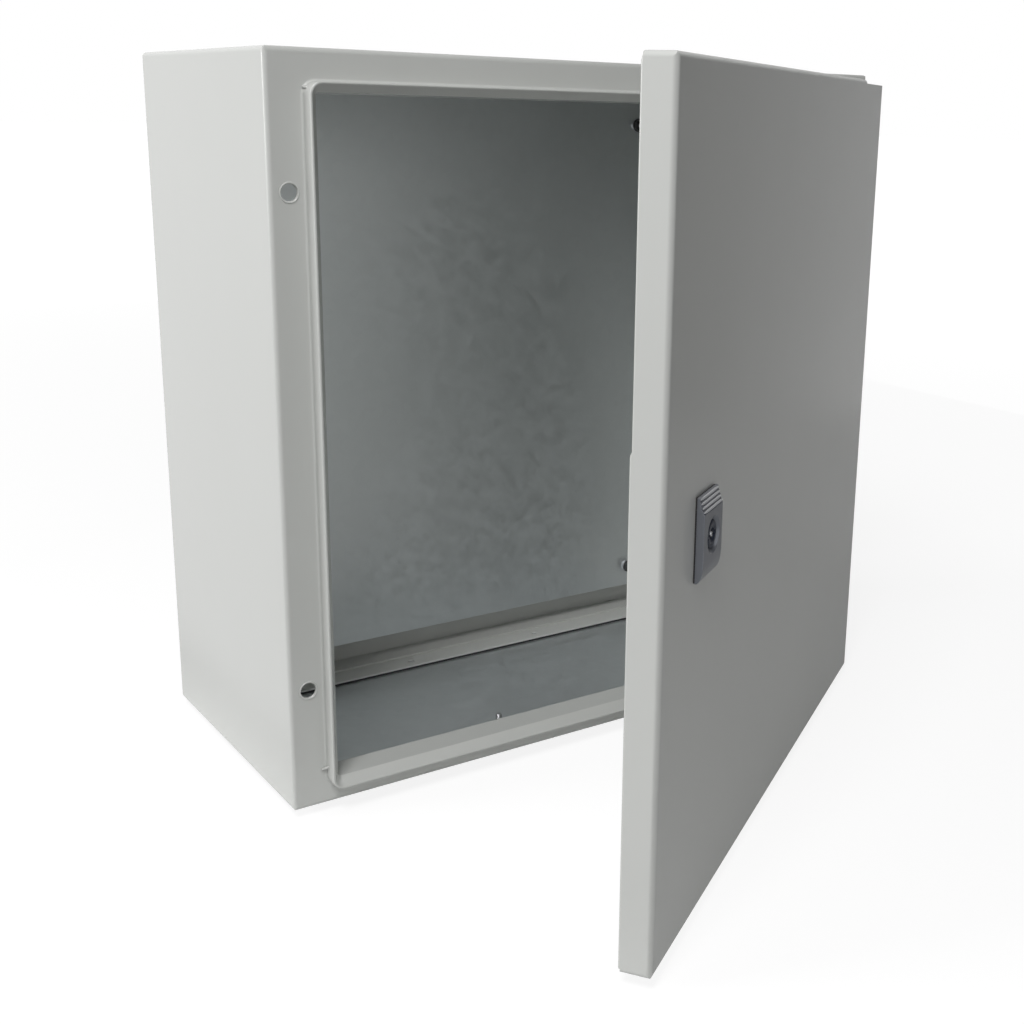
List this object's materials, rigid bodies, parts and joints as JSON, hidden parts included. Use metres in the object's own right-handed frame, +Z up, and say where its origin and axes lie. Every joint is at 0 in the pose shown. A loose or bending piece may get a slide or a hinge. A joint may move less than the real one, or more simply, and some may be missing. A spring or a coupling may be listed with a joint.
{
  "type": "wall-mounted steel enclosure",
  "caption": "Wall-mounted sheet-steel enclosure with a hinged door, rain lip, quarter-turn lock, mounting plate and gland plate.",
  "frame": {"origin": "centre of the four wall-fixing holes, on the plane of the wall", "axes": "+X to the right seen from the front, +Y into the wall, +Z up; the door faces -Y and hangs on the +X side"},
  "size_m": [0.5008, 0.5192, 0.507],
  "materials": {
    "paint": "semi-gloss light grey powder coat with a fine orange peel",
    "galvanised": "galvanised sheet with a soft spangle",
    "zinc": "zinc-plated, satin",
    "black_steel": "black passivated",
    "diecast": "die-cast zinc, fine matt",
    "insert": "dark blue-black, slightly glossy",
    "gasket": "foamed polyurethane, matt"
  },
  "bodies": {
    "enclosure": {"body_wrapper": "paint", "back_panel": "paint", "mounting_plate": "galvanised", "plate_studs": "zinc", "plate_washers": "zinc", "plate_nuts": "black_steel", "gland_plate": "galvanised", "gland_gasket": "gasket", "gland_screws": "zinc", "body_earth_stud": "zinc", "body_earth_nut": "zinc", "upper_hinge_bracket": "diecast", "lower_hinge_bracket": "diecast", "hinge_bracket_screws": "zinc"},
    "door": {"door_panel": "paint", "door_gasket": "gasket", "upper_hinge_leaf": "diecast", "lower_hinge_leaf": "diecast", "upper_hinge_pin": "zinc", "lower_hinge_pin": "zinc", "hinge_leaf_nuts": "zinc", "door_earth_stud": "zinc", "door_earth_nut": "zinc", "lock_housing": "diecast", "lock_seal": "gasket", "lock_nut": "zinc"},
    "lock_cylinder": {"lock_insert": "insert", "lock_cam": "zinc", "cam_screw": "zinc"}
  },
  "joints": [
    {"name": "door_hinge", "type": "hinge", "parent": "enclosure", "child": "door", "pos_m": [0.243, -0.243, 0], "axis": [0, 0, 1], "range_deg": [-33.5, 86.5]},
    {"name": "lock_turn", "type": "hinge", "parent": "door", "child": "lock_cylinder", "pos_m": [-0.10712, -0.48313, -0.0075], "axis": [-0.5519, 0.8339, 0], "range_deg": [0, 90]}
  ]
}
